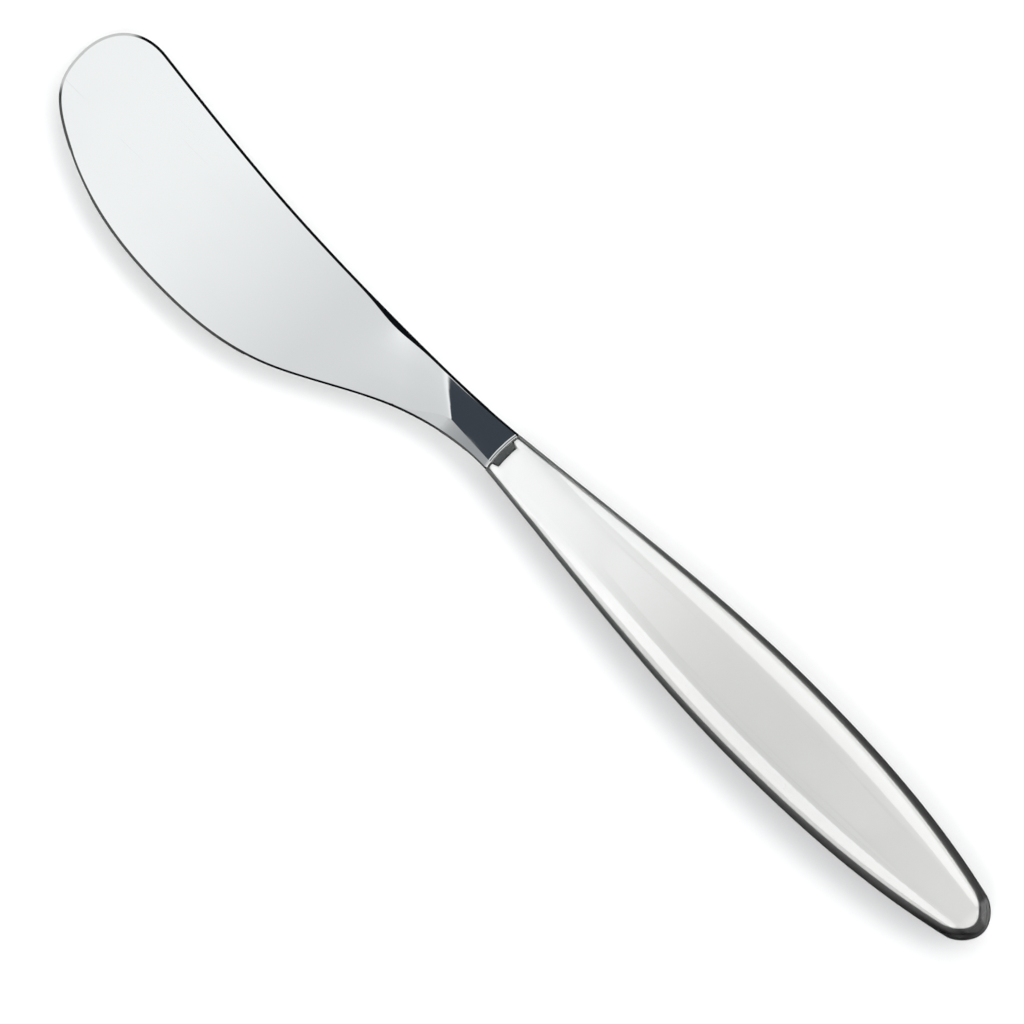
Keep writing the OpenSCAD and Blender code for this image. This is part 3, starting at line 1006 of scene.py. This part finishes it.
@dataclass
class HandleCore:
    """White core, moulded round the tang."""

    plan: KnifePlan
    steel: SteelBlade
    nose_gap: float = 1.3
    nose_round: float = 1.2
    nose_share: float = 0.92
    ear_l: float = 1.0
    ear_step: float = 0.3
    end_gap: float = 1.85
    rim_front: float = 0.6
    rim_butt: float = 1.35
    cover_front: float = 0.22
    cover_swell: float = 0.4
    cover_butt: float = 0.32
    cover_edge: float = 0.32
    core_round: float = 0.2
    bond: float = 0.012
    nose_rings: int = 14
    front_rings: int = 60
    rear_rings: int = 44
    end_rings: int = 26
    cover: Curve = field(init=False)

    def __post_init__(self) -> None:
        """Works out the clear plastic over the core along the handle."""
        self.cover = Curve((
            Knot(0, self.cover_front),
            Knot(self.plan.swell_at, self.cover_swell),
            Knot(self.plan.handle_l, self.cover_butt)))

    def half_w(self, x: float) -> float:
        """Half width of the core, behind its nose."""
        return self.plan.flank(x) - mix(self.rim_front, self.rim_butt, x / self.plan.handle_l)

    @property
    def outline(self) -> Outline:
        """Outline of the core in the plan."""
        return Outline(self.half_w, self.plan.round_x - self.end_gap, self.plan.handle_l - self.end_gap)

    def turns(self) -> list[float]:
        """Places of the core's rings on its outline, from its nose to its end."""
        start, swell = (x - self.outline.round_x for x in (self.nose_gap, self.plan.swell_at))
        return stations((start, start + self.nose_round, swell, 0, LAST_TURN),
                        (self.nose_rings, self.front_rings, self.rear_rings, self.end_rings))

    def ring(self, t: float, gap: float = 0.0) -> Ring:
        """Ring of the core, or a wider one.

        Args:
            t: Place on the core's outline.
            gap: How much wider the ring is.

        Returns:
            The ring, bowed and with its ears at the nose.
        """
        plan = self.plan
        point, inward = self.outline.point(t), self.outline.inward(t)
        edge = Edge.rounded(self.core_round)
        past_nose = (point.x - self.nose_gap) / self.nose_round
        kept = mix(self.nose_share, 1, math.sqrt(max(0.0, 1 - max(0.0, 1 - past_nose) ** 2)))
        inner = HalfSection(point, inward, edge).inner
        edge_cover = mix(self.cover_front, self.cover_edge, ease(inner.x / plan.swell_at))
        shoulder = (plan.half_t(inner) - edge_cover) * kept + gap
        crown = max(shoulder, (plan.top(inner.x) - self.cover(inner.x)) * kept + gap)
        point = Vector((point.x, point.y * kept)) - inward * gap
        ring = even_section(point, inward, crown, shoulder, edge)
        bow = 1 - ease(past_nose)
        return [(x - self.ear(y) * bow, y, z) for x, y, z in plan.bowed(ring, bow)]

    def ear(self, y: float) -> float:
        """How far the core's front stands forward beside the tang."""
        return self.ear_l * ease((abs(y) - self.steel.tang_w / 2 + self.ear_step) / self.ear_step)

    def build(self) -> bpy.types.Object:
        """Makes the core's mesh, with the slot for the tang.

        Returns:
            The white piece.
        """
        slot = [self.steel.tang_end(self.bond)]
        slot += [self.steel.tang_ring(x, self.bond) for x in reversed(self.steel.tang_places(self.nose_gap))]
        return skin("white_core", slot + [self.ring(t, self.bond) for t in self.turns()], self.plan.shift)

    def dress(self, piece: bpy.types.Object) -> None:
        """Gives the core its finish and its place in the part."""
        piece.data.materials.append(material(Slot.WHITE.value, WhiteMoulding().shade))
        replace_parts(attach(piece, BODY), "handle_core")


@dataclass
class HandleShell:
    """Clear shell, moulded over the core and flush with the neck."""

    plan: KnifePlan
    core: HandleCore
    mouth_round: float = 0.06
    mould_gap: float = 0.02
    mouth_rings: int = 6
    front_rings: int = 80
    rear_rings: int = 60
    end_rings: int = 40

    def ring(self, t: float) -> Ring:
        """Ring of the shell's outside at a place on the handle's outline."""
        plan, point = self.plan, self.plan.outline.point(t)
        return even_section(point, plan.outline.inward(t), plan.top(point.x), plan.shoulder(point.x),
                            *plan.edges(point.x))

    def lip(self) -> list[Ring]:
        """Rounds the front edge.

        Returns:
            Its rings, from the outside to the front face.
        """
        rings = []
        for angle in spread(0, math.pi / 2, self.mouth_rings):
            x = mix(self.mouth_round, self.mould_gap, math.sin(angle))
            ring = self.plan.mouth_ring(x, self.mouth_round * (1 - math.cos(angle)))
            rings.append(self.plan.bowed(ring, math.sin(angle)))
        return rings

    def build(self) -> bpy.types.Object:
        """Makes the shell's mesh, with the hollow round the core.

        Returns:
            The clear piece.
        """
        plan, steel, core = self.plan, self.core.steel, self.core
        outside = stations((self.mouth_round - plan.round_x, plan.swell_at - plan.round_x, 0, LAST_TURN),
                           (self.front_rings, self.rear_rings, self.end_rings))
        rings = [self.ring(t) for t in reversed(outside[1:])] + self.lip()
        rings.append(plan.bowed(steel.tang_ring(self.mould_gap)))
        rings.append(steel.tang_ring(core.nose_gap))
        rings += [core.ring(t) for t in core.turns()]
        return skin("clear_shell", rings, plan.shift)

    def dress(self, piece: bpy.types.Object) -> None:
        """Gives the shell its finish and its place in the part."""
        piece.data.materials.append(material(Slot.CLEAR.value, ClearMoulding().shade))
        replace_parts(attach(piece, BODY), "handle_shell")


@dataclass(frozen=True)
class Softbox:
    """Bright patch of the light tent, by its direction from the table.

    Azimuth is in degrees in the picture, 0 to its right and 90 to its top, and tilt is from straight up.
    """

    name: str
    azimuth: float
    half_width: float
    low_tilt: float
    high_tilt: float
    radiance: float
    softness: float = 4.0
    side_softness: float = 12.0

    def light(self, tilt: Wire, right: Wire, up: Wire) -> Wire:
        """Light that the patch gives in a direction.

        Args:
            tilt: Tilt of the direction in degrees.
            right: Its unit part to the picture's right.
            up: Its unit part to the picture's top.

        Returns:
            The radiance.
        """
        angle = math.radians(self.azimuth)
        toward = (right * math.cos(angle) + up * math.sin(angle)).maths("MINIMUM", 1.0)
        off = toward.maths("ARCCOSINE") * math.degrees(1)
        s, w = self.softness, self.side_softness
        inside = tilt.ramped(self.low_tilt - s, self.low_tilt + s)
        inside = inside * (1 - tilt.ramped(self.high_tilt - s, self.high_tilt + s))
        return inside * (1 - off.ramped(self.half_width - w, self.half_width + w)) * self.radiance


@dataclass(frozen=True)
class Panel:
    """Round light panel overhead, a little to the spine's side and brighter towards the tip.

    Its tilt, fades and shift are in degrees. It brightens over a span of a direction's part to the tip.
    """

    tilt: float = 6.2
    inner_fade: float = 0.9
    outer_fade: float = 0.8
    shift: float = 1.0
    low: float = 0.72
    high: float = 1.05
    rise: Span = (0.026, 0.066)
    horizon_fade: float = 0.1

    def light(self, right: Wire, up: Wire, height: Wire) -> Wire:
        """Light that the panel gives in a direction.

        Args:
            right: The direction's part to the picture's right.
            up: Its part to the picture's top.
            height: Its part up from the table.

        Returns:
            The radiance.
        """
        shift = math.sin(math.radians(self.shift)) * DIAGONAL
        aside, above = right - shift, up - shift
        off = (aside * aside + above * above).maths("SQRT").maths("ARCSINE") * math.degrees(1)
        inside = 1 - off.ramped(self.tilt - self.inner_fade, self.tilt + self.outer_fade)
        to_tip = (up - right) * DIAGONAL
        radiance = to_tip.ramped(*self.rise) * (self.high - self.low) + self.low
        return inside * height.ramped(0, self.horizon_fade) * radiance


@dataclass
class Studio:
    """White table, light tent and camera."""

    camera_height: float = 1.0
    view_width: float = 0.14234
    sensor_width: float = 36.0
    turn_deg: float = 45.0
    clip_start: float = 0.01
    table_size: float = 3.0
    dark: Colour = (0.050, 0.062, 0.078)
    dark_fade: Span = (28, 60)
    dark_loss: float = 0.9
    least_across: float = 1e-4
    panel: Panel = Panel()
    boxes: tuple[Softbox, ...] = (
        Softbox("right", 45, 38, 21, 40, 4.3, softness=2.5),
        Softbox("right_inner", 45, 38, 7.6, 20, 0.8, softness=1.2, side_softness=8),
        Softbox("right_low", 45, 30, 42, 66, 0.7),
        Softbox("right_top", 98, 24, 44, 66, 2.8, side_softness=8),
        Softbox("right_bottom", -8, 24, 44, 66, 2.8, side_softness=8),
        Softbox("left_inner", 246, 28, 5.8, 13.5, 0.75, softness=1.2, side_softness=8),
        Softbox("left_low", 238, 36, 40, 56, 0.9),
        Softbox("spine_low", 45, 60, 60, 71.5, 0.55, softness=1.5),
        Softbox("belly_low", 225, 50, 60, 71.5, 0.45, softness=1.5),
        Softbox("butt_low", 315, 50, 60, 80, 0.5, softness=3),
        Softbox("left", 234, 26, 21, 38, 5.4, softness=1.8, side_softness=10),
        Softbox("left_fill", 258, 74, 14.9, 24, 0.68, softness=0.4, side_softness=60),
        Softbox("tip", 140, 28, 16, 46, 2.0, softness=2),
        Softbox("butt", 315, 30, 24, 52, 1.2, softness=5),
        Softbox("tip_horizon", 122, 44, 62, 86, 0.7, softness=3, side_softness=8),
        Softbox("belly_horizon", 205, 32, 66, 88, 0.10, softness=3),
    )

    def table(self) -> None:
        """Makes the table top that the knife lies on."""
        data = bpy.data.meshes.new("table")
        half, z = self.table_size / 2, CAD_BOX[0].z
        data.from_pydata([(-half, -half, z), (half, -half, z), (half, half, z), (-half, half, z)],
                         [], [(0, 1, 2, 3)])
        piece = bpy.data.objects.new("table", data)
        bpy.context.scene.collection.objects.link(piece)
        data.materials.append(material("white_table", WhiteTable().shade))

    def tent(self) -> None:
        """Makes the light tent: a panel overhead, a dark gap round it, and soft boxes."""
        world = bpy.data.worlds.new("light_tent")
        bpy.context.scene.world = world
        tree = ShaderTree(world)
        way = tree.node("ShaderNodeTexCoord", output="Generated")
        turn = math.radians(self.turn_deg)
        right = way.dot((math.cos(turn), math.sin(turn), 0))
        up = way.dot((-math.sin(turn), math.cos(turn), 0))
        height = way.dot((0, 0, 1))
        tilt = height.maths("MINIMUM", 1.0).maths("ARCCOSINE") * math.degrees(1)
        across = (right * right + up * up).maths("SQRT").maths("MAXIMUM", self.least_across)
        unit_right, unit_up = right / across, up / across
        light = self.panel.light(right, up, height)
        for box in self.boxes:
            light = light + box.light(tilt, unit_right, unit_up)
        camera = tree.light_path("Is Camera Ray")
        light = light * (1 - camera) + camera
        lit = tree.node("ShaderNodeBackground", {}, {"Color": (1, 1, 1, 1), "Strength": light})
        dim = 1 - tilt.ramped(*self.dark_fade) * self.dark_loss
        unlit = tree.node("ShaderNodeBackground", {}, {"Color": (*self.dark, 1), "Strength": dim})
        both = tree.node("ShaderNodeAddShader", {}, {0: lit, 1: unlit})
        tree.node("ShaderNodeOutputWorld", {}, {"Surface": both})
        LOG.info("light tent: a panel, %s", ", ".join(box.name for box in self.boxes))

    def camera(self) -> None:
        """Makes the camera, straight above the knife, which lies across the picture's diagonal."""
        low, high = CAD_BOX
        lens = bpy.data.cameras.new("camera")
        lens.sensor_width = self.sensor_width
        middle = (low + high) / 2
        reach = self.camera_height - middle.z
        lens.lens = self.sensor_width * reach / self.view_width
        lens.clip_start = self.clip_start
        piece = bpy.data.objects.new("camera", lens)
        bpy.context.scene.collection.objects.link(piece)
        piece.location = (middle.x, middle.y, self.camera_height)
        piece.rotation_euler = (0, 0, math.radians(self.turn_deg))
        bpy.context.scene.camera = piece

    def build(self) -> None:
        """Makes the whole studio."""
        self.table()
        self.tent()
        self.camera()
        bpy.context.scene.view_settings.view_transform = "Standard"


def main() -> None:
    """Builds the knife and the studio."""
    logging.basicConfig(level=logging.INFO, format="%(message)s")
    plan = KnifePlan()
    steel = SteelBlade(plan)
    core = HandleCore(plan, steel)
    shell = HandleShell(plan, core)
    for part, piece in (
            (steel, steel.build(core.nose_gap)), (core, core.build()), (shell, shell.build())):
        part.dress(piece)
        LOG.info("%s: %d faces", piece.name, len(piece.data.polygons))
    Studio().build()


if __name__ == "__main__":
    main()
